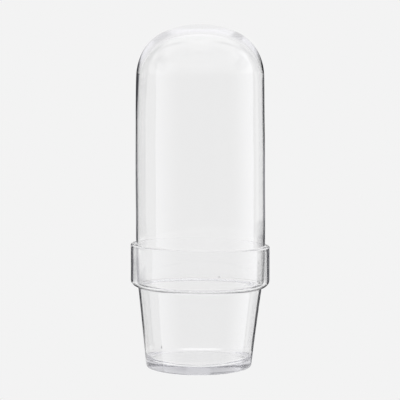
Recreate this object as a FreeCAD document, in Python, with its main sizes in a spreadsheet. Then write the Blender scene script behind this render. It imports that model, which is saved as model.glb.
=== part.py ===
"""Clear glass mini-greenhouse: a flowerpot-shaped glass pot and the tall glass dome that stands in its collar.

Both pieces are blown glass, round about the Z axis, so each is one half-section turned about Z with its sharp
edges melted round. Millimetres, +Z up. The origin is the middle of the flat face that the pot rests on.
"""
import FreeCAD, Part
import math
import os

import Sketcher
from FreeCAD import Vector

# Driving dimensions: alias in the sheet, value in millimetres, what it is.
SIZES = [
    ("base_radius", 52.9, "pot: outside radius where the body meets the resting face"),
    ("neck_radius", 62.3, "pot: outside radius of the body under the collar"),
    ("collar_radius", 70.0, "pot: outside radius of the collar"),
    ("collar_bottom", 81.5, "pot: height of the collar's underside"),
    ("rim_height", 123.2, "pot: height of the rim"),
    ("floor_thickness", 7.8, "pot: glass under the inside floor"),
    ("body_wall", 2.3, "pot: wall of the tapered body"),
    ("ledge_thickness", 2.5, "pot: glass between the collar's underside and the ledge inside"),
    ("collar_low_wall", 2.1, "pot: wall of the collar just above the ledge"),
    ("rim_wall", 3.3, "pot: wall of the collar at the rim"),
    ("base_round", 2.6, "pot: rounding of the outside bottom edge"),
    ("floor_round", 7.0, "pot: rounding between the inside floor and the wall"),
    ("collar_round", 7.6, "pot: rounding of the collar's lower outside edge"),
    ("neck_round", 1.2, "pot: rounding of the corner between the neck and the collar's underside"),
    ("ledge_round", 1.6, "pot: rounding of the ledge's inner edge"),
    ("ledge_corner_round", 5.0, "pot: rounding between the ledge and the collar's wall"),
    ("rim_round", 1.6, "pot: rounding of each edge of the rim"),
    ("dome_radius", 65.1, "dome: outside radius of its straight wall"),
    ("dome_wall", 1.6, "dome: thickness of its wall"),
    ("dome_top", 343.0, "dome: height of its crown, standing on the ledge"),
    ("crown_thickness", 6.0, "dome: glass at the middle of the crown"),
    ("crown_radius", 100.0, "dome: outside radius of curvature of the crown"),
    ("shoulder_radius", 47.0, "dome: outside radius of curvature of the shoulder"),
    ("inner_crown_radius", 94.0, "dome: inside radius of curvature of the crown"),
    ("inner_shoulder_radius", 43.5, "dome: inside radius of curvature of the shoulder"),
    ("high_narrowing_height", 235.0, "dome: height where the wall starts to draw in towards the shoulder"),
    ("high_narrowing_radius", 2800.0, "dome: outside radius of curvature of the wall where it draws in at the top"),
    ("inner_high_narrowing_radius", 1300.0, "dome: inside radius of curvature of the same stretch"),
    ("low_narrowing_height", 135.0, "dome: height where the wall starts to draw in towards the lip"),
    ("low_narrowing_radius", 810.0, "dome: radius of curvature of the wall where it draws in at the bottom"),
    ("lip_round", 0.75, "dome: rounding of each edge of the lip"),
    ("lip_gap", 0.3, "clearance between the dome's lip and the ledge"),
]

ORIGIN = (-1, 1)
CROSS_AXIS = -1
TURNING_AXIS = -2
START, END, CENTRE = 1, 2, 3
SAME_PLACE = 1e-4


def make_sheet(doc):
    """Put the driving dimensions into the document's spreadsheet, one aliased cell each."""
    sheet = doc.addObject("Spreadsheet::Sheet", "Sizes")
    for row, (alias, value, meaning) in enumerate(SIZES, start=1):
        sheet.set(f"A{row}", alias)
        sheet.set(f"B{row}", str(value))
        sheet.set(f"C{row}", meaning)
        sheet.setAlias(f"B{row}", alias)
    doc.recompute()
    return sheet


def size_of(alias):
    """A driving dimension, to draw a sketch near where its constraints then hold it."""
    return {name: value for name, value, _ in SIZES}[alias]


def upright_sketch(body, name):
    """A sketch on the body's own XZ plane, where the sketch's vertical axis is the axis of the glass."""
    plane = next(item for item in body.Origin.OriginFeatures if item.Role == "XZ_Plane")
    sketch = body.newObject("Sketcher::SketchObject", name)
    sketch.AttachmentSupport = [(plane, "")]
    sketch.MapMode = "FlatFace"
    return sketch


def bind(sketch, constraint, name, formula):
    """Add a dimension to the sketch and bind it to the sheet."""
    sketch.addConstraint(constraint)
    sketch.renameConstraint(sketch.ConstraintCount - 1, name)
    sketch.setExpression(f"Constraints.{name}", formula)


def bind_radius_at(sketch, place, name, value, formula):
    """Hold a point of the sketch at a bound distance from the turning axis."""
    bind(sketch, Sketcher.Constraint("DistanceX", *ORIGIN, *place, value), name, formula)


def bind_height_at(sketch, place, name, value, formula):
    """Hold a point of the sketch at a bound height above the resting face."""
    bind(sketch, Sketcher.Constraint("DistanceY", *ORIGIN, *place, value), name, formula)


def turn(body, sketch, name):
    """Turn a half-section all the way round its vertical axis."""
    solid = body.newObject("PartDesign::Revolution", name)
    solid.Profile = sketch
    solid.ReferenceAxis = (sketch, ["V_Axis"])
    solid.Angle = 360
    sketch.Visibility = False
    body.Document.recompute()
    return solid


def ring_edges(feature, radius, height):
    """Names of a feature's circular edges about the Z axis at one radius and height."""
    names = []
    for number, edge in enumerate(feature.Shape.Edges, start=1):
        if edge.Degenerated or not isinstance(edge.Curve, Part.Circle):
            continue
        curve = edge.Curve
        on_radius = abs(curve.Radius - radius) < SAME_PLACE
        on_height = abs(curve.Center.z - height) < SAME_PLACE
        if on_radius and on_height:
            names.append(f"Edge{number}")
    if not names:
        raise RuntimeError(f"{feature.Label} has no edge at radius {radius}, height {height}")
    return names


def melt_edge(body, base, name, place, alias):
    """Round one circular edge, as the flame does, with a radius bound to the sheet."""
    radius, height = place
    fillet = body.newObject("PartDesign::Fillet", name)
    fillet.Base = (base, ring_edges(base, radius, height))
    fillet.Radius = size_of(alias)
    fillet.setExpression("Radius", f"Sizes.{alias}")
    body.Document.recompute()
    return fillet


# ---------------------------------------------------------------- pot

def pot_corners():
    """The pot's half-section, corner by corner: name, radius and height, each as (value, formula for the sheet).

    A radius of None lies on the turning axis, and a height of None on the resting face.
    """
    base = size_of("base_radius")
    neck = size_of("neck_radius")
    collar = size_of("collar_radius")
    underside = size_of("collar_bottom")
    rim = size_of("rim_height")
    floor = size_of("floor_thickness")
    ledge = underside + size_of("ledge_thickness")
    floor_edge = base + (neck - base) * floor / underside - size_of("body_wall")
    floor_edge_formula = ("Sizes.base_radius + (Sizes.neck_radius - Sizes.base_radius)"
                          " * Sizes.floor_thickness / Sizes.collar_bottom - Sizes.body_wall")
    ledge_formula = "Sizes.collar_bottom + Sizes.ledge_thickness"
    return [
        ("base_middle", None, None),
        ("base_edge", (base, "Sizes.base_radius"), None),
        ("neck", (neck, "Sizes.neck_radius"), (underside, "Sizes.collar_bottom")),
        ("collar_foot", (collar, "Sizes.collar_radius"), (underside, "Sizes.collar_bottom")),
        ("rim_outside", (collar, "Sizes.collar_radius"), (rim, "Sizes.rim_height")),
        ("rim_inside", (collar - size_of("rim_wall"), "Sizes.collar_radius - Sizes.rim_wall"),
         (rim, "Sizes.rim_height")),
        ("ledge_outside", (collar - size_of("collar_low_wall"), "Sizes.collar_radius - Sizes.collar_low_wall"),
         (ledge, ledge_formula)),
        ("ledge_inside", (neck - size_of("body_wall"), "Sizes.neck_radius - Sizes.body_wall"),
         (ledge, ledge_formula)),
        ("floor_edge", (floor_edge, floor_edge_formula), (floor, "Sizes.floor_thickness")),
        ("floor_middle", None, (floor, "Sizes.floor_thickness")),
    ]


def pot_section(body):
    """Draw the pot's half-section: straight walls between the corners, every corner bound to the sheet."""
    sketch = upright_sketch(body, "PotSection")
    corners = pot_corners()
    places = [Vector(radius[0] if radius else 0, height[0] if height else 0, 0) for _, radius, height in corners]
    for here, there in zip(places, places[1:] + places[:1]):
        sketch.addGeometry(Part.LineSegment(here, there))
    for index, (name, radius, height) in enumerate(corners):
        sketch.addConstraint(Sketcher.Constraint("Coincident", index - 1 if index else len(corners) - 1, END,
                                                 index, START))
        if radius:
            bind_radius_at(sketch, (index, START), f"{name}_radius", *radius)
        else:
            sketch.addConstraint(Sketcher.Constraint("PointOnObject", index, START, TURNING_AXIS))
        if height:
            bind_height_at(sketch, (index, START), f"{name}_height", *height)
        else:
            sketch.addConstraint(Sketcher.Constraint("PointOnObject", index, START, CROSS_AXIS))
    return sketch


def make_pot(doc):
    """The pot: its half-section turned about Z, then every sharp edge melted round."""
    body = doc.addObject("PartDesign::Body", "GlassPot")
    body.Label = "glass_pot"
    solid = turn(body, pot_section(body), "PotGlass")
    rounds = {
        "base_edge": "base_round",
        "neck": "neck_round",
        "collar_foot": "collar_round",
        "rim_outside": "rim_round",
        "rim_inside": "rim_round",
        "ledge_outside": "ledge_corner_round",
        "ledge_inside": "ledge_round",
        "floor_edge": "floor_round",
    }
    for name, radius, height in pot_corners():
        if name in rounds:
            place = (radius[0], height[0] if height else 0)
            feature_name = "".join(word.capitalize() for word in name.split("_")) + "Round"
            solid = melt_edge(body, solid, feature_name, place, rounds[name])
    body.Tip = solid
    return body


# --------------------------------------------------------------- dome

def arc(centre, radius, from_degrees, to_degrees):
    """A circular arc in a sketch, counter-clockwise between two directions."""
    circle = Part.Circle(centre, Vector(0, 0, 1), radius)
    return Part.ArcOfCircle(circle, math.radians(from_degrees), math.radians(to_degrees))


def crossing(first, first_reach, second, second_reach):
    """The point at these distances from two centres, on the outer side of the line between them."""
    apart = second - first
    along = (first_reach ** 2 - second_reach ** 2 + apart.Length ** 2) / (2 * apart.Length)
    across = math.sqrt(first_reach ** 2 - along ** 2)
    onward = apart / apart.Length
    return first + onward * along + Vector(-onward.y, onward.x, 0) * across


def lip_height():
    """Height of the dome's lip, just above the pot's ledge."""
    return size_of("collar_bottom") + size_of("ledge_thickness") + size_of("lip_gap")


def direction(centre, place):
    """Angle in degrees of the line from a centre to a place in the sketch."""
    return math.degrees(math.atan2(place.y - centre.y, place.x - centre.x))


def add_dome_skin(sketch, side, wall_radius, top, crown, shoulder, high_narrowing, low_narrowing):
    """Draw one face of the dome, from the crown's middle down to the lip, with its five stretches tangent.

    Each of the sizes after side is (value, formula for the sheet). Returns the crown arc and the arc at the lip.
    """
    wall_top = size_of("high_narrowing_height")
    wall_foot = size_of("low_narrowing_height")
    crown_centre = Vector(0, top[0] - crown[0], 0)
    high_centre = Vector(wall_radius[0] - high_narrowing[0], wall_top, 0)
    low_centre = Vector(wall_radius[0] - low_narrowing[0], wall_foot, 0)
    shoulder_centre = crossing(high_centre, high_narrowing[0] - shoulder[0], crown_centre, crown[0] - shoulder[0])
    high_angle = direction(high_centre, shoulder_centre)
    crown_angle = direction(crown_centre, shoulder_centre)
    lip_angle = math.degrees(math.asin((wall_foot - lip_height()) / low_narrowing[0]))

    crown_arc = sketch.addGeometry(arc(crown_centre, crown[0], crown_angle, 90))
    shoulder_arc = sketch.addGeometry(arc(shoulder_centre, shoulder[0], high_angle, crown_angle))
    high_arc = sketch.addGeometry(arc(high_centre, high_narrowing[0], 0, high_angle))
    wall = sketch.addGeometry(Part.LineSegment(Vector(wall_radius[0], wall_top, 0),
                                               Vector(wall_radius[0], wall_foot, 0)))
    low_arc = sketch.addGeometry(arc(low_centre, low_narrowing[0], -lip_angle, 0))

    sketch.addConstraint(Sketcher.Constraint("PointOnObject", crown_arc, END, TURNING_AXIS))
    sketch.addConstraint(Sketcher.Constraint("PointOnObject", crown_arc, CENTRE, TURNING_AXIS))
    sketch.addConstraint(Sketcher.Constraint("Tangent", crown_arc, START, shoulder_arc, END))
    sketch.addConstraint(Sketcher.Constraint("Tangent", shoulder_arc, START, high_arc, END))
    sketch.addConstraint(Sketcher.Constraint("Tangent", high_arc, START, wall, START))
    sketch.addConstraint(Sketcher.Constraint("Vertical", wall))
    sketch.addConstraint(Sketcher.Constraint("Tangent", wall, END, low_arc, END))
    bind_height_at(sketch, (crown_arc, END), f"{side}_top", *top)
    for geometry, name, (radius, formula) in [(crown_arc, "crown", crown), (shoulder_arc, "shoulder", shoulder),
                                              (high_arc, "high_narrowing", high_narrowing),
                                              (low_arc, "low_narrowing", low_narrowing)]:
        bind(sketch, Sketcher.Constraint("Radius", geometry, radius), f"{side}_{name}", formula)
    bind_radius_at(sketch, (wall, START), f"{side}_wall", *wall_radius)
    bind_height_at(sketch, (wall, START), f"{side}_wall_top", wall_top, "Sizes.high_narrowing_height")
    bind_height_at(sketch, (wall, END), f"{side}_wall_foot", wall_foot, "Sizes.low_narrowing_height")
    bind_height_at(sketch, (low_arc, START), f"{side}_lip", lip_height(),
                   "Sizes.collar_bottom + Sizes.ledge_thickness + Sizes.lip_gap")
    return crown_arc, low_arc


def dome_section(body):
    """Draw the dome's half-section: an outside and an inside face, closed along the axis and across the lip."""
    sketch = upright_sketch(body, "DomeSection")
    wall = size_of("dome_wall")
    radius = size_of("dome_radius")
    top = size_of("dome_top")
    low_narrowing = size_of("low_narrowing_radius")
    outer_crown, outer_lip = add_dome_skin(
        sketch, "outside",
        wall_radius=(radius, "Sizes.dome_radius"),
        top=(top, "Sizes.dome_top"),
        crown=(size_of("crown_radius"), "Sizes.crown_radius"),
        shoulder=(size_of("shoulder_radius"), "Sizes.shoulder_radius"),
        high_narrowing=(size_of("high_narrowing_radius"), "Sizes.high_narrowing_radius"),
        low_narrowing=(low_narrowing, "Sizes.low_narrowing_radius"))
    inner_crown, inner_lip = add_dome_skin(
        sketch, "inside",
        wall_radius=(radius - wall, "Sizes.dome_radius - Sizes.dome_wall"),
        top=(top - size_of("crown_thickness"), "Sizes.dome_top - Sizes.crown_thickness"),
        crown=(size_of("inner_crown_radius"), "Sizes.inner_crown_radius"),
        shoulder=(size_of("inner_shoulder_radius"), "Sizes.inner_shoulder_radius"),
        high_narrowing=(size_of("inner_high_narrowing_radius"), "Sizes.inner_high_narrowing_radius"),
        low_narrowing=(low_narrowing - wall, "Sizes.low_narrowing_radius - Sizes.dome_wall"))
    for one, one_end, other, other_end in [(outer_crown, END, inner_crown, END),
                                           (outer_lip, START, inner_lip, START)]:
        here = sketch.getPoint(one, one_end)
        there = sketch.getPoint(other, other_end)
        line = sketch.addGeometry(Part.LineSegment(here, there))
        sketch.addConstraint(Sketcher.Constraint("Coincident", line, START, one, one_end))
        sketch.addConstraint(Sketcher.Constraint("Coincident", line, END, other, other_end))
    return sketch


def make_dome(doc):
    """The dome: its half-section turned about Z, then both edges of the lip melted round."""
    body = doc.addObject("PartDesign::Body", "GlassDome")
    body.Label = "glass_dome"
    solid = turn(body, dome_section(body), "DomeGlass")
    narrowing = size_of("low_narrowing_radius")
    wall = size_of("dome_wall")
    drop = size_of("low_narrowing_height") - lip_height()
    axis_offset = size_of("dome_radius") - narrowing
    for name, reach in [("LipOutsideRound", narrowing), ("LipInsideRound", narrowing - wall)]:
        radius = axis_offset + math.sqrt(reach ** 2 - drop ** 2)
        solid = melt_edge(body, solid, name, (radius, lip_height()), "lip_round")
    body.Tip = solid
    return body


# -------------------------------------------------------------- build

def check(doc):
    """Stop if any object of the document failed to compute."""
    for item in doc.Objects:
        if "Invalid" in item.State or "Error" in item.State:
            raise RuntimeError(f"{item.Label} failed: {item.State}")


def main():
    doc = FreeCAD.newDocument("Greenhouse")
    make_sheet(doc)
    bodies = [make_pot(doc), make_dome(doc)]
    doc.recompute()
    check(doc)
    for body in bodies:
        if body.Shape.isNull() or not body.Shape.isValid():
            raise RuntimeError(f"{body.Label} has no valid shape")
    os.makedirs("parts", exist_ok=True)
    for body in bodies:
        body.Shape.exportStep(os.path.join("parts", body.Label + ".step"))
        box = body.Shape.BoundBox
        print(f"{body.Label}: {len(body.Shape.Solids)} solid, {body.Shape.Volume / 1000:.1f} cm3, "
              f"z {box.ZMin:.2f} to {box.ZMax:.2f}, radius {box.XMax:.2f}")


main()
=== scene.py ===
"""Clear glass mini-greenhouse: a flowerpot-shaped glass pot with a tall glass dome standing in its collar.

Both pieces are lathed from their real half-sections as closed glass walls, with the small faults of hand-blown
glass: a pot whose foot is a little off centre, a rim and a collar that aren't quite level, a dome that bows and
ripples, and a few seed bubbles.
"""
import math
from typing import NamedTuple

import bpy
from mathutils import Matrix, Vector


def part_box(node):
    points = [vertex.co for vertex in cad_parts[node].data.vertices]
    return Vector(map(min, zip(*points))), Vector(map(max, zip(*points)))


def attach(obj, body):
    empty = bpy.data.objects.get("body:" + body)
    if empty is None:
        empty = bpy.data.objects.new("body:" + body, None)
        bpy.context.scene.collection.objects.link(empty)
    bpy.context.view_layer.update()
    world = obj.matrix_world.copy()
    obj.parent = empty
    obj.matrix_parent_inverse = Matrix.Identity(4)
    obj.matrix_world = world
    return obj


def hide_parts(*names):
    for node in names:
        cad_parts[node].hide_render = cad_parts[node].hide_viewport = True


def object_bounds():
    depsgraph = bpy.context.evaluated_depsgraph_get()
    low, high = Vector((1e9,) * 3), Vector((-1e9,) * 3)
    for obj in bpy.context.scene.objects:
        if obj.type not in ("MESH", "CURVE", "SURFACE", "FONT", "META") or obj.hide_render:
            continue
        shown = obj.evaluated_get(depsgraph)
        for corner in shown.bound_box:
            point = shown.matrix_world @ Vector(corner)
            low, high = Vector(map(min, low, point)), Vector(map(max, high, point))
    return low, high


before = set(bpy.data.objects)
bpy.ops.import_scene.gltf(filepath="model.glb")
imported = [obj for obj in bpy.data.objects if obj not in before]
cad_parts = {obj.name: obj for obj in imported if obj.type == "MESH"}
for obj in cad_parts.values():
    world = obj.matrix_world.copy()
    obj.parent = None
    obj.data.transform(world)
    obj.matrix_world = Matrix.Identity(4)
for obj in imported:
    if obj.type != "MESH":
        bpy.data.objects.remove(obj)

cad_low, cad_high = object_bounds()
pot_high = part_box("glass_pot")[1]
dome_low, dome_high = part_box("glass_dome")

MM = 0.001

# How finely the half-sections are divided: steps round Z, the longest straight step, the angle of one step of a
# rounding, its fewest steps, and the steps of the dome's arcs.
AROUND = 288
LONGEST_STEP = 4 * MM
ROUNDING_STEP = math.radians(9)
FEWEST_STEPS = 4
LOW_STEPS = 14
HIGH_STEPS = 16
SHOULDER_STEPS = 24
CROWN_STEPS = 16
LIP_STEPS = 12

# The pot, as its half-section gives it.
BASE_RADIUS = 52.9 * MM
NECK_RADIUS = 62.3 * MM
COLLAR_RADIUS = pot_high.x
COLLAR_BOTTOM = 81.5 * MM
RIM_HEIGHT = pot_high.z
FLOOR_THICKNESS = 7.8 * MM
BODY_WALL = 2.3 * MM
LEDGE_THICKNESS = 2.5 * MM
COLLAR_LOW_WALL = 2.1 * MM
RIM_WALL = 3.3 * MM
FOOT_ROUNDING = 2.6 * MM
NECK_ROUNDING = 1.2 * MM
COLLAR_LOW_ROUNDING = 7.6 * MM
RIM_ROUNDING = 1.6 * MM
COLLAR_INNER_ROUNDING = 5 * MM
LEDGE_ROUNDING = 0.9 * MM
FLOOR_ROUNDING = 7 * MM

# The dome.
DOME_RADIUS = dome_high.x - 0.2 * MM
DOME_WALL = 1.6 * MM
DOME_TOP = dome_high.z
LIP_HEIGHT = dome_low.z
CROWN_THICKNESS = 6.0 * MM
CROWN_RADIUS = 100 * MM
SHOULDER_RADIUS = 47 * MM
INNER_CROWN_RADIUS = 94 * MM
INNER_SHOULDER_RADIUS = 43.5 * MM
LOW_NARROWING_HEIGHT = 135 * MM
LOW_NARROWING_RADIUS = 810 * MM
HIGH_NARROWING_HEIGHT = 235 * MM
HIGH_NARROWING_RADIUS = 2800 * MM
INNER_HIGH_NARROWING_RADIUS = 1300 * MM

# What the glassblower's hand left in the pot. A pair of heights says where a fault is still nothing and where it
# has its full size.
POT_LEAN = 1.3 * MM
RIM_DROP = 1.45 * MM
RIM_DROPS = (95 * MM, RIM_HEIGHT)
COLLAR_SAG = 1.4 * MM
SAGS_BELOW = (COLLAR_BOTTOM - 22 * MM, COLLAR_BOTTOM)
SAGS_ABOVE = (105 * MM, 86 * MM)
COLLAR_SHIFT = 0.35 * MM
COLLAR_SHIFTS = (84 * MM, 92 * MM)

# What it left in the dome.
BOW = 0.3 * MM
BOW_MIDDLE = 200 * MM
BOW_REACH = 75 * MM
STANDS_OFF = 0.5 * MM
STANDS_OFF_BELOW = (200 * MM, 118 * MM)
SHOULDER = (285 * MM, 312 * MM)
SHOULDER_SHIFT = 0.2 * MM
SHOULDER_SLIMMING = 0.6 * MM
SLIMMING = 0.35 * MM
SLIMS = (200 * MM, 262 * MM)
INNER_SHIFT = 0.1 * MM
INNER_SHIFT_HIGH = 0.25 * MM
INNER_MIDDLE = (RIM_HEIGHT, RIM_HEIGHT + 30 * MM)
INNER_HIGH = (255 * MM, 290 * MM)
THINNING = 0.15 * MM
RIPPLE = 0.05 * MM
RIPPLES = ((3, 21 * MM), (5, -13 * MM))         # times round the dome, and climb
RIPPLED = (RIM_HEIGHT, RIM_HEIGHT + 40 * MM)

# Seed bubbles in the pot's wall: direction in degrees about Z, distance from Z, height, and radii across the wall,
# along the wall and up.
POT_BUBBLES = [
    (-131.5, 54.6 * MM, 26 * MM, (0.7 * MM, 0.8 * MM, 1.4 * MM)),
    (-75.2, COLLAR_RADIUS - 1.25 * MM, 98.5 * MM, (0.6 * MM, 0.9 * MM, 0.9 * MM)),
]
BUBBLE_SIDES = 24
BUBBLE_BANDS = 12

# The glass: its refraction, its waviness and the faint bloom on it. Its tint deepens with the density and with the
# thickness that light passes. The bloom's patches are noise levels, from clear to fully bloomed.
REFRACTION = 1.5
POT_TINT = (0.73, 0.727, 0.766)
POT_DENSITY = 10.5
DOME_TINT = (0.74, 0.72, 0.86)
DOME_DENSITY = 2.0
WAVE_SCALE = 22
WAVE_DETAIL = 1
WAVE_DEPTH = 0.03 * MM
BLOOM_SCALE = 60
BLOOM_DETAIL = 4
BLOOM_PATCHES = (0.45, 0.8)
BLOOM_ROUGHNESS = 0.025

# The pale grey of the floor and of the background, seen straight on or through the glass.
PALE = 0.8963

# The floor's half width, and how far it lies below the pot.
FLOOR_HALF = 40.0
FLOOR_GAP = 0.2 * MM
# A strip of floor behind the pot with a painted caustic: painted brighter to rays that passed DEEP glass faces,
# as if the thick base gathered light there. Each pair is from nothing to full.
PAINTED_CAUSTIC_SIDES = (30 * MM, 12 * MM)
PAINTED_CAUSTIC_NEAR = (50 * MM, 54 * MM)
PAINTED_CAUSTIC_FAR = (66 * MM, 62 * MM)
PAINTED_CAUSTIC_LEVEL = 1.05

# The camera: its sensor and lens in millimetres, its place and what it looks at in metres.
SENSOR_WIDTH = 36
LENS = 113.94
CAMERA_PLACE = (0, -1.2695, 0.2438)
CAMERA_AIM = (0, 0, 0.1678)


class Card(NamedTuple):
    """A card on the studio's wall, in degrees, and the grey it shows.

    Its soft edges, beside, above and below it, lie outside it. A card on both sides has its azimuths as distances
    from the front. A card may be seen by all rays, or only by rays that passed many or only a few glass faces.
    """
    azimuths: tuple
    elevations: tuple
    soft: tuple
    level: float
    blue: float = 1.0
    both_sides: bool = False
    seen_by: str = "all"


# The studio without its cards, from brightness at the front to brightness at the back, with its ceiling and ground.
FRONT_TO_BACK = (60, 120)
FRONT_LEVEL = 0.55
BACK_LEVEL = 0.85
CEILING = (70, 78)
CEILING_LEVEL = 1.05
GROUND = (-22, -30)
GROUND_LEVEL = 0.95

# Its cards, each laid over those before it.
CARDS = [
    # Pale: the crown's grey sides and its bright top.
    Card((150, 170), (12, 29), (3, 2, 2), 0.74, both_sides=True),
    Card((100, 200), (48, 90), (20, 8, 8), 1.05, both_sides=True),
    # Dark: the edges of the dome and of the collar, right and left.
    Card((122, 150), (-8, -5.2), (5, 0.7, 0.7), 0.10, 1.1),
    Card((-150, -118), (-8, -6.2), (8, 0.4, 0.4), 0.30, 1.1),
    Card((150, 169), (-13.0, 5), (4, 3, 1.0), 0.03, 1.2),
    Card((-169, -152), (-11.2, 5), (4, 3, 0.7), 0.03, 1.2),
    Card((-169, -147), (1.8, 9), (5, 2, 0.8), 0.05, 1.2),
    # Dark and low: the edges of the pot's body and the collar's underside.
    Card((157, 172), (-25, -15.5), (4, 1.5, 1.5), 0.05, 1.1, both_sides=True, seen_by="shallow"),
    Card((88, 130), (-36, -21.5), (8, 3, 3), 0.12, 1.1, both_sides=True),
    # Dark grey: the dome's edges half-way up.
    Card((154, 169), (-4.5, -1.5), (3, 1.5, 1.5), 0.20, 1.1),
    Card((-169, -150), (-4.5, -1.5), (4, 1.5, 1.5), 0.11, 1.1),
    # Seen through several faces: the inner dark bands of the collar and of the pot.
    Card((128, 172), (-9, 6), (4, 3, 3), 0.02, 1.1, seen_by="deep"),
    Card((-163, -141), (-9, 6), (4, 3, 3), 0.28, 1.1, seen_by="deep"),
]

# Number of glass faces that a ray passed: at least this many to be deep or far, and fewer than this to be shallow.
# A far ray sees no cards.
DEEP = 4
SHALLOW_BELOW = 6
FAR = 7
FAR_LEVEL = 0.93

# The softboxes that the outer faces mirror: azimuths from nothing to full and from beyond the edge to full, and
# elevations from nothing to full.
RIGHT_BOX = ((45, 105), (109, 107.5), (45, 30))
RIGHT_BOX_LEVEL = 2.2
LEFT_BOX = ((-30, -80), (-86, -84.5), (30, 18))
LEFT_BOX_LEVEL = 1.9
BOX_BLUE = 1.03
# The dark card between the right softbox and the back, mirrored only by the outer faces.
OUTER_CARD = Card((150, 169), (0, 7.3), (4, 2, 2), 0.03, 1.2)

# What an inner face mirrors at the sides: a dark wall, seen by rays that passed two glass faces.
DARK_WALL_ELEVATIONS = (14, 8)
DARK_WALL_AZIMUTHS = (122, 114)
DARK_WALL_SHARE = 0.85
DARK_WALL_LEVEL = 0.04

# What light caught in the glass's own thickness sees, after four or five reflections, and after very many.
TRAPPED = (3.5, 4.5)
TRAPPED_LEVEL = 0.96
TRAPPED_CARDS = [
    Card((-152, -122), (-6, -3), (10, 9, 9), 0.6),
    Card((126, 158), (-6, -3), (20, 9, 9), 0.66),
]
TRAPPED_CEILING = (18, 26)
TRAPPED_CEILING_LEVEL = 1.25
WORN_OUT = (25.0, 30.5)
DARKEST = 0.03
DARKEST_BLUE = 1.2

# How long a ray is followed: light in a glass within a glass bounces often.
MOST_BOUNCES = 48
MOST_INSIDE_BOUNCES = 32
MOST_CLEAR_BOUNCES = 16


# ---------------------------------------------------------------- outlines

def stretch(start, end):
    """Points from start up to but not including end, at most LONGEST_STEP apart."""
    start, end = Vector(start), Vector(end)
    count = max(1, math.ceil((end - start).length / LONGEST_STEP))
    return [start.lerp(end, step / count) for step in range(count)]


def arc(centre, radius, from_degrees, to_degrees, count):
    """Points on a circular arc, both ends included."""
    centre = Vector(centre)
    angles = [math.radians(from_degrees + (to_degrees - from_degrees) * step / count) for step in range(count + 1)]
    return [centre + radius * Vector((math.cos(angle), math.sin(angle))) for angle in angles]


def rounded(corners):
    """An outline through corners of (radius, height, rounding), with each corner rounded by a tangent arc.

    The first and last corners are ends and stay as they are.
    """
    bends = [[Vector(corners[0][:2])]]
    for before, here, after in zip(corners, corners[1:], corners[2:]):
        corner = Vector(here[:2])
        back = (Vector(before[:2]) - corner).normalized()
        onward = (Vector(after[:2]) - corner).normalized()
        half = back.angle(onward) / 2
        setback = here[2] / math.tan(half)
        centre = corner + (back + onward).normalized() * (here[2] / math.sin(half))
        first = corner + back * setback - centre
        last = corner + onward * setback - centre
        turn = first.angle_signed(last)
        count = max(FEWEST_STEPS, math.ceil(abs(turn) / ROUNDING_STEP))
        start = math.atan2(first.y, first.x)
        bends.append([centre + here[2] * Vector((math.cos(start - turn * step / count),
                                                 math.sin(start - turn * step / count)))
                      for step in range(count + 1)])
    bends.append([Vector(corners[-1][:2])])
    points = []
    for bend, following in zip(bends, bends[1:]):
        points += bend[:-1]
        points += stretch(bend[-1], following[0])
    return points + bends[-1]


def pot_outline():
    """The pot's half-section, from the middle of its underside round to the middle of its inside floor."""
    ledge = COLLAR_BOTTOM + LEDGE_THICKNESS
    floor_edge = BASE_RADIUS + (NECK_RADIUS - BASE_RADIUS) * FLOOR_THICKNESS / COLLAR_BOTTOM - BODY_WALL
    return rounded([
        (0, 0, 0),
        (BASE_RADIUS, 0, FOOT_ROUNDING),
        (NECK_RADIUS, COLLAR_BOTTOM, NECK_ROUNDING),
        (COLLAR_RADIUS, COLLAR_BOTTOM, COLLAR_LOW_ROUNDING),
        (COLLAR_RADIUS, RIM_HEIGHT, RIM_ROUNDING),
        (COLLAR_RADIUS - RIM_WALL, RIM_HEIGHT, RIM_ROUNDING),
        (COLLAR_RADIUS - COLLAR_LOW_WALL, ledge, COLLAR_INNER_ROUNDING),
        (NECK_RADIUS - BODY_WALL, ledge, LEDGE_ROUNDING),
        (floor_edge, FLOOR_THICKNESS, FLOOR_ROUNDING),
        (0, FLOOR_THICKNESS, 0),
    ])


def crossing(first, first_reach, second, second_reach):
    """The point at these distances from two centres, on the outer side of the line between them."""
    apart = second - first
    along = (first_reach ** 2 - second_reach ** 2 + apart.length ** 2) / (2 * apart.length)
    across = math.sqrt(first_reach ** 2 - along ** 2)
    onward = apart.normalized()
    return first + onward * along + Vector((-onward.y, onward.x)) * across


def dome_skin(wall_radius, top, crown, shoulder, high_narrowing, low_narrowing):
    """One face of the dome, from the lip up to the middle of the crown, every arc tangent to the next."""
    crown_centre = Vector((0, top - crown))
    high_centre = Vector((wall_radius - high_narrowing, HIGH_NARROWING_HEIGHT))
    low_centre = Vector((wall_radius - low_narrowing, LOW_NARROWING_HEIGHT))
    shoulder_centre = crossing(high_centre, high_narrowing - shoulder, crown_centre, crown - shoulder)
    lip_bend = math.degrees(math.asin((LOW_NARROWING_HEIGHT - LIP_HEIGHT - DOME_WALL / 2) / low_narrowing))
    wall_bend = math.degrees(math.atan2(*(shoulder_centre - high_centre).yx))
    shoulder_bend = math.degrees(math.atan2(*(shoulder_centre - crown_centre).yx))
    points = arc(low_centre, low_narrowing, -lip_bend, 0, LOW_STEPS)[:-1]
    points += stretch((wall_radius, LOW_NARROWING_HEIGHT), (wall_radius, HIGH_NARROWING_HEIGHT))
    points += arc(high_centre, high_narrowing, 0, wall_bend, HIGH_STEPS)[:-1]
    points += arc(shoulder_centre, shoulder, wall_bend, shoulder_bend, SHOULDER_STEPS)[:-1]
    points += arc(crown_centre, crown, shoulder_bend, 90, CROWN_STEPS)
    points[-1].x = 0
    return points


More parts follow.
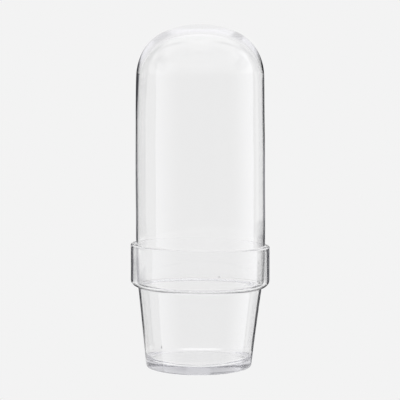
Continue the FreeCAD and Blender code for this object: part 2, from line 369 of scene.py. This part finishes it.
def dome_outline():
    """The dome's half-section: down the inside, round the lip and up the outside."""
    inside = dome_skin(DOME_RADIUS - DOME_WALL, DOME_TOP - CROWN_THICKNESS, INNER_CROWN_RADIUS,
                       INNER_SHOULDER_RADIUS, INNER_HIGH_NARROWING_RADIUS, LOW_NARROWING_RADIUS - DOME_WALL)
    outside = dome_skin(DOME_RADIUS, DOME_TOP, CROWN_RADIUS, SHOULDER_RADIUS, HIGH_NARROWING_RADIUS,
                        LOW_NARROWING_RADIUS)
    lip_middle = (inside[0] + outside[0]) / 2
    lip = arc(lip_middle, (outside[0] - inside[0]).length / 2, 180, 360, LIP_STEPS)
    return inside[::-1] + lip[1:-1] + outside


# ------------------------------------------------------------------ meshes

def smooth(value, nothing, full):
    """0 at and beyond nothing, 1 at and beyond full, smooth between."""
    share = min(1, max(0, (value - nothing) / (full - nothing)))
    return share * share * (3 - 2 * share)


def shape_pot(place, _):
    """Lean the pot's body, tilt its rim, let the collar's underside sag at +X and bring its -X side in."""
    place.x -= POT_LEAN * max(0, 1 - place.z / COLLAR_BOTTOM)
    place.z -= RIM_DROP * place.x / COLLAR_RADIUS * smooth(place.z, *RIM_DROPS)
    near = smooth(place.z, *SAGS_BELOW) * smooth(place.z, *SAGS_ABOVE)
    place.z -= COLLAR_SAG * (1 + place.x / COLLAR_RADIUS) / 2 * near
    place.x += COLLAR_SHIFT * (1 - place.x / COLLAR_RADIUS) / 2 * smooth(place.z, *COLLAR_SHIFTS)


def shape_dome(place, along):
    """Bow the dome's wall, slim it above and ripple it, with the inside face a little off the outside's middle.

    along is the point's share of the way along the outline, whose first half is the inside face.
    """
    off_middle = (place.z - BOW_MIDDLE) / BOW_REACH
    place.x += BOW * math.exp(-off_middle ** 2)
    place.x += STANDS_OFF * smooth(place.z, *STANDS_OFF_BELOW)
    shoulder = smooth(place.z, *SHOULDER)
    place.x += SHOULDER_SHIFT * shoulder
    thinning = 0
    if along < 0.5:
        high = smooth(place.z, *INNER_HIGH)
        middle = smooth(place.z, *INNER_MIDDLE)
        place.x += INNER_SHIFT * middle + INNER_SHIFT_HIGH * high
        thinning = THINNING * middle * (1 - high)
    around = math.atan2(place.y, place.x)
    ripple = sum(math.sin(times * around + place.z / climb) for times, climb in RIPPLES) * RIPPLE
    ripple *= smooth(place.z, *RIPPLED)
    slimming = SLIMMING * smooth(place.z, *SLIMS) + SHOULDER_SLIMMING * shoulder
    change = 1 + (ripple - slimming + thinning) / DOME_RADIUS
    place.x *= change
    place.y *= change


def bubble(vertices, faces, around, reach, height, radii):
    """A seed bubble: a small closed hollow in the glass, its faces turned to the air inside it."""
    outward = Vector((math.cos(math.radians(around)), math.sin(math.radians(around)), 0))
    along = Vector((-outward.y, outward.x, 0))
    across, sideways, up = radii
    first = len(vertices)
    middle = outward * reach + Vector((0, 0, height))
    vertices.append(middle - Vector((0, 0, up)))
    for band in range(1, BUBBLE_BANDS):
        level = -math.cos(math.pi * band / BUBBLE_BANDS)
        girth = math.sin(math.pi * band / BUBBLE_BANDS)
        for side in range(BUBBLE_SIDES):
            turn = 2 * math.pi * side / BUBBLE_SIDES
            vertices.append(middle + outward * across * girth * math.cos(turn)
                            + along * sideways * girth * math.sin(turn) + Vector((0, 0, up * level)))
    vertices.append(middle + Vector((0, 0, up)))
    last = len(vertices) - 1

    def spot(band, side):
        return first + 1 + band * BUBBLE_SIDES + side % BUBBLE_SIDES

    faces += [(first, spot(0, side), spot(0, side + 1)) for side in range(BUBBLE_SIDES)]
    for band in range(BUBBLE_BANDS - 2):
        faces += [(spot(band, side), spot(band + 1, side), spot(band + 1, side + 1), spot(band, side + 1))
                  for side in range(BUBBLE_SIDES)]
    faces += [(last, spot(BUBBLE_BANDS - 2, side + 1), spot(BUBBLE_BANDS - 2, side))
              for side in range(BUBBLE_SIDES)]


def lathe(name, outline, shape, bubbles=()):
    """A closed solid of revolution: the outline turned about Z, its two ends on the axis, then shaped."""
    rings = outline[1:-1]
    vertices = [(0, 0, outline[0].y)]
    for ring in rings:
        for step in range(AROUND):
            angle = 2 * math.pi * step / AROUND
            vertices.append((ring.x * math.cos(angle), ring.x * math.sin(angle), ring.y))
    vertices.append((0, 0, outline[-1].y))
    last = len(vertices) - 1

    def spot(ring, step):
        return 1 + ring * AROUND + step % AROUND

    faces = [(0, spot(0, step + 1), spot(0, step)) for step in range(AROUND)]
    for ring in range(len(rings) - 1):
        for step in range(AROUND):
            faces.append((spot(ring, step), spot(ring, step + 1), spot(ring + 1, step + 1), spot(ring + 1, step)))
    faces += [(last, spot(len(rings) - 1, step), spot(len(rings) - 1, step + 1)) for step in range(AROUND)]
    for around, reach, height, radii in bubbles:
        bubble(vertices, faces, around, reach, height, radii)
    vertices = [Vector(vertex) for vertex in vertices]
    for count, vertex in enumerate(vertices):
        shape(vertex, count / last)
    mesh = bpy.data.meshes.new(name)
    mesh.from_pydata(vertices, [], faces)
    mesh.shade_smooth()
    piece = bpy.data.objects.new(name, mesh)
    bpy.context.scene.collection.objects.link(piece)
    return piece


# --------------------------------------------------------------- materials

def glass(name, tint, density):
    """Clear blown glass: a smooth refracting surface and a faint tint that shows only through its thickness."""
    material = bpy.data.materials.new(name)
    material.use_nodes = True
    nodes, links = material.node_tree.nodes, material.node_tree.links
    shader = nodes["Principled BSDF"]
    shader.inputs["Base Color"].default_value = (1, 1, 1, 1)
    shader.inputs["Transmission Weight"].default_value = 1
    shader.inputs["IOR"].default_value = REFRACTION
    place = nodes.new("ShaderNodeTexCoord")

    def noise(scale, detail):
        node = nodes.new("ShaderNodeTexNoise")
        node.inputs["Scale"].default_value = scale
        node.inputs["Detail"].default_value = detail
        links.new(place.outputs["Object"], node.inputs["Vector"])
        return node.outputs["Fac"]

    waviness = nodes.new("ShaderNodeBump")
    waviness.inputs["Strength"].default_value = 1
    waviness.inputs["Distance"].default_value = WAVE_DEPTH
    links.new(noise(WAVE_SCALE, WAVE_DETAIL), waviness.inputs["Height"])
    links.new(waviness.outputs["Normal"], shader.inputs["Normal"])
    bloom = nodes.new("ShaderNodeMapRange")
    bloom.inputs["From Min"].default_value, bloom.inputs["From Max"].default_value = BLOOM_PATCHES
    bloom.inputs["To Max"].default_value = BLOOM_ROUGHNESS
    links.new(noise(BLOOM_SCALE, BLOOM_DETAIL), bloom.inputs["Value"])
    links.new(bloom.outputs["Result"], shader.inputs["Roughness"])
    absorption = nodes.new("ShaderNodeVolumeAbsorption")
    absorption.inputs["Color"].default_value = (*tint, 1)
    absorption.inputs["Density"].default_value = density
    links.new(absorption.outputs["Volume"], nodes["Material Output"].inputs["Volume"])
    return material


# ------------------------------------------------------------------- stage

class Studio:
    """Small helper that adds and links the nodes of a stage material or of the world."""

    def __init__(self, tree):
        self.nodes = tree.nodes
        self.links = tree.links
        self.nodes.clear()
        path = self.nodes.new("ShaderNodeLightPath")
        self.reflections = path.outputs["Glossy Depth"]
        self.faces_passed = path.outputs["Transmission Depth"]

    def link(self, source, socket):
        if hasattr(source, "node"):
            self.links.new(source, socket)
        else:
            socket.default_value = source

    def math(self, operation, *sources):
        node = self.nodes.new("ShaderNodeMath")
        node.operation = operation
        for source, socket in zip(sources, node.inputs):
            self.link(source, socket)
        return node.outputs[0]

    def product(self, first, *others):
        """The product of some shares."""
        for other in others:
            first = self.math("MULTIPLY", first, other)
        return first

    def at_least(self, number, count):
        """1 where a whole number is at least count, and 0 elsewhere."""
        return self.math("GREATER_THAN", number, count - 0.5)

    def ramp(self, value, nothing, full):
        """0 at and beyond nothing, 1 at and beyond full, smooth between."""
        node = self.nodes.new("ShaderNodeMapRange")
        node.interpolation_type = "SMOOTHSTEP"
        self.link(value, node.inputs["Value"])
        node.inputs["From Min"].default_value = nothing
        node.inputs["From Max"].default_value = full
        return node.outputs["Result"]

    def mix(self, share, first, second):
        """A colour between first and second. The node's sockets 6 and 7 are its two colours."""
        node = self.nodes.new("ShaderNodeMix")
        node.data_type = "RGBA"
        self.link(share, node.inputs[0])
        self.link(first, node.inputs[6])
        self.link(second, node.inputs[7])
        return node.outputs[2]

    def place(self, output):
        """The three parts of a texture coordinate."""
        split = self.nodes.new("ShaderNodeSeparateXYZ")
        self.links.new(self.nodes.new("ShaderNodeTexCoord").outputs[output], split.inputs[0])
        return split.outputs


def grey(level, blue=1.0):
    return (level, level, level * blue, 1)


def light_world():
    """A studio all round: pale where it is looked at straight, softboxes where the glass mirrors it.

    Azimuth is 0 towards the front, 90 at +X and 180 at the back, and the -X side has the negative ones.
    """
    world = bpy.data.worlds.new("studio")
    bpy.context.scene.world = world
    world.use_nodes = True
    world.cycles.sampling_method = "NONE"
    studio = Studio(world.node_tree)
    x, y, z = studio.place("Generated")
    azimuth = studio.math("DEGREES", studio.math("ARCTAN2", x, studio.math("MULTIPLY", y, -1.0)))
    elevation = studio.math("DEGREES", studio.math("ARCSINE", z))
    from_front = studio.math("ABSOLUTE", azimuth)
    seen_by = {
        "deep": studio.at_least(studio.faces_passed, DEEP),
        "shallow": studio.math("SUBTRACT", 1.0, studio.at_least(studio.faces_passed, SHALLOW_BELOW)),
    }

    def lay(card, under):
        """The colour under a card, with the card over it."""
        side = from_front if card.both_sides else azimuth
        beside, above, below = card.soft
        left, right = card.azimuths
        low, high = card.elevations
        share = studio.product(studio.ramp(side, left - beside, left), studio.ramp(side, right + beside, right),
                               studio.ramp(elevation, low - below, low), studio.ramp(elevation, high + above, high))
        if card.seen_by != "all":
            share = studio.product(share, seen_by[card.seen_by])
        return studio.mix(share, under, grey(card.level, card.blue))

    def softbox(edges, level, under):
        """The colour under a softbox, with the softbox over it."""
        near, far, upper = edges
        share = studio.product(studio.ramp(azimuth, *near), studio.ramp(azimuth, *far),
                               studio.ramp(elevation, *upper))
        return studio.mix(share, under, grey(level, BOX_BLUE))

    tent = studio.mix(studio.ramp(from_front, *FRONT_TO_BACK), grey(FRONT_LEVEL), grey(BACK_LEVEL))
    tent = studio.mix(studio.ramp(elevation, *CEILING), tent, grey(CEILING_LEVEL))
    tent = studio.mix(studio.ramp(elevation, *GROUND), tent, grey(GROUND_LEVEL))
    for card in CARDS:
        tent = lay(card, tent)
    tent = studio.mix(studio.at_least(studio.faces_passed, FAR), tent, grey(FAR_LEVEL))

    room = softbox(RIGHT_BOX, RIGHT_BOX_LEVEL, tent)
    room = softbox(LEFT_BOX, LEFT_BOX_LEVEL, room)
    room = lay(OUTER_CARD, room)

    wall = studio.product(studio.ramp(elevation, *DARK_WALL_ELEVATIONS),
                          studio.ramp(from_front, *DARK_WALL_AZIMUTHS),
                          studio.math("COMPARE", studio.faces_passed, 2.0, 0.5), DARK_WALL_SHARE)
    glassy = studio.mix(wall, tent, grey(DARK_WALL_LEVEL, DARKEST_BLUE))

    guided = grey(TRAPPED_LEVEL)
    for card in TRAPPED_CARDS:
        guided = lay(card, guided)
    guided = studio.mix(studio.ramp(elevation, *TRAPPED_CEILING), guided, grey(TRAPPED_CEILING_LEVEL))
    guided = studio.mix(studio.ramp(studio.reflections, *WORN_OUT), guided, grey(DARKEST, DARKEST_BLUE))
    glassy = studio.mix(studio.ramp(studio.reflections, *TRAPPED), glassy, guided)

    reflected = studio.mix(studio.at_least(studio.faces_passed, 1), room, glassy)
    seen = studio.mix(studio.at_least(studio.reflections, 1), grey(PALE), reflected)
    background = studio.nodes.new("ShaderNodeBackground")
    output = studio.nodes.new("ShaderNodeOutputWorld")
    studio.links.new(seen, background.inputs["Color"])
    studio.links.new(background.outputs[0], output.inputs["Surface"])


def make_floor():
    """A plain pale floor that runs into the pale background with no edge, with a painted caustic: a brighter strip
    behind the pot, seen only through deep glass. Mirrored rays pass it.
    """
    mesh = bpy.data.meshes.new("floor")
    mesh.from_pydata([(-FLOOR_HALF, -FLOOR_HALF, 0), (FLOOR_HALF, -FLOOR_HALF, 0), (FLOOR_HALF, FLOOR_HALF, 0),
                      (-FLOOR_HALF, FLOOR_HALF, 0)], [], [(0, 1, 2, 3)])
    floor = bpy.data.objects.new("floor", mesh)
    bpy.context.scene.collection.objects.link(floor)
    floor.location.z = cad_low.z - FLOOR_GAP
    material = bpy.data.materials.new("pale_floor")
    material.use_nodes = True
    studio = Studio(material.node_tree)
    x, y, _ = studio.place("Object")
    # Painted caustic: the floor's emission is painted brighter in a strip behind the pot, for rays that passed deep
    # glass.
    painted_caustic = studio.product(studio.ramp(studio.math("ABSOLUTE", x), *PAINTED_CAUSTIC_SIDES), studio.ramp(y, *PAINTED_CAUSTIC_NEAR),
                           studio.ramp(y, *PAINTED_CAUSTIC_FAR), studio.at_least(studio.faces_passed, DEEP))
    glow = studio.nodes.new("ShaderNodeEmission")
    studio.links.new(studio.mix(painted_caustic, grey(PALE), grey(PAINTED_CAUSTIC_LEVEL)), glow.inputs["Color"])
    clear = studio.nodes.new("ShaderNodeBsdfTransparent")
    either = studio.nodes.new("ShaderNodeMixShader")
    output = studio.nodes.new("ShaderNodeOutputMaterial")
    studio.links.new(studio.at_least(studio.reflections, 1), either.inputs["Fac"])
    studio.links.new(glow.outputs[0], either.inputs[1])
    studio.links.new(clear.outputs[0], either.inputs[2])
    studio.links.new(either.outputs[0], output.inputs["Surface"])
    mesh.materials.append(material)


def make_camera():
    """The camera, a little above the dome's middle and looking slightly down."""
    data = bpy.data.cameras.new("camera")
    data.sensor_width = SENSOR_WIDTH
    data.lens = LENS
    camera = bpy.data.objects.new("camera", data)
    bpy.context.scene.collection.objects.link(camera)
    camera.location = CAMERA_PLACE
    camera.rotation_euler = (Vector(CAMERA_AIM) - camera.location).to_track_quat("-Z", "Y").to_euler()
    bpy.context.scene.camera = camera


# -------------------------------------------------------------------- main

pot = lathe("pot_blown_glass", pot_outline(), shape_pot, POT_BUBBLES)
pot.data.materials.append(glass("pot_glass", POT_TINT, POT_DENSITY))
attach(pot, "pot")
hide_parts("glass_pot")

dome = lathe("dome_blown_glass", dome_outline(), shape_dome)
dome.data.materials.append(glass("dome_glass", DOME_TINT, DOME_DENSITY))
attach(dome, "dome")
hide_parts("glass_dome")

light_world()
make_floor()
make_camera()

settings = bpy.context.scene
settings.view_settings.view_transform = "Standard"
settings.cycles.max_bounces = MOST_BOUNCES
settings.cycles.transmission_bounces = MOST_INSIDE_BOUNCES
settings.cycles.glossy_bounces = MOST_INSIDE_BOUNCES
settings.cycles.transparent_max_bounces = MOST_CLEAR_BOUNCES
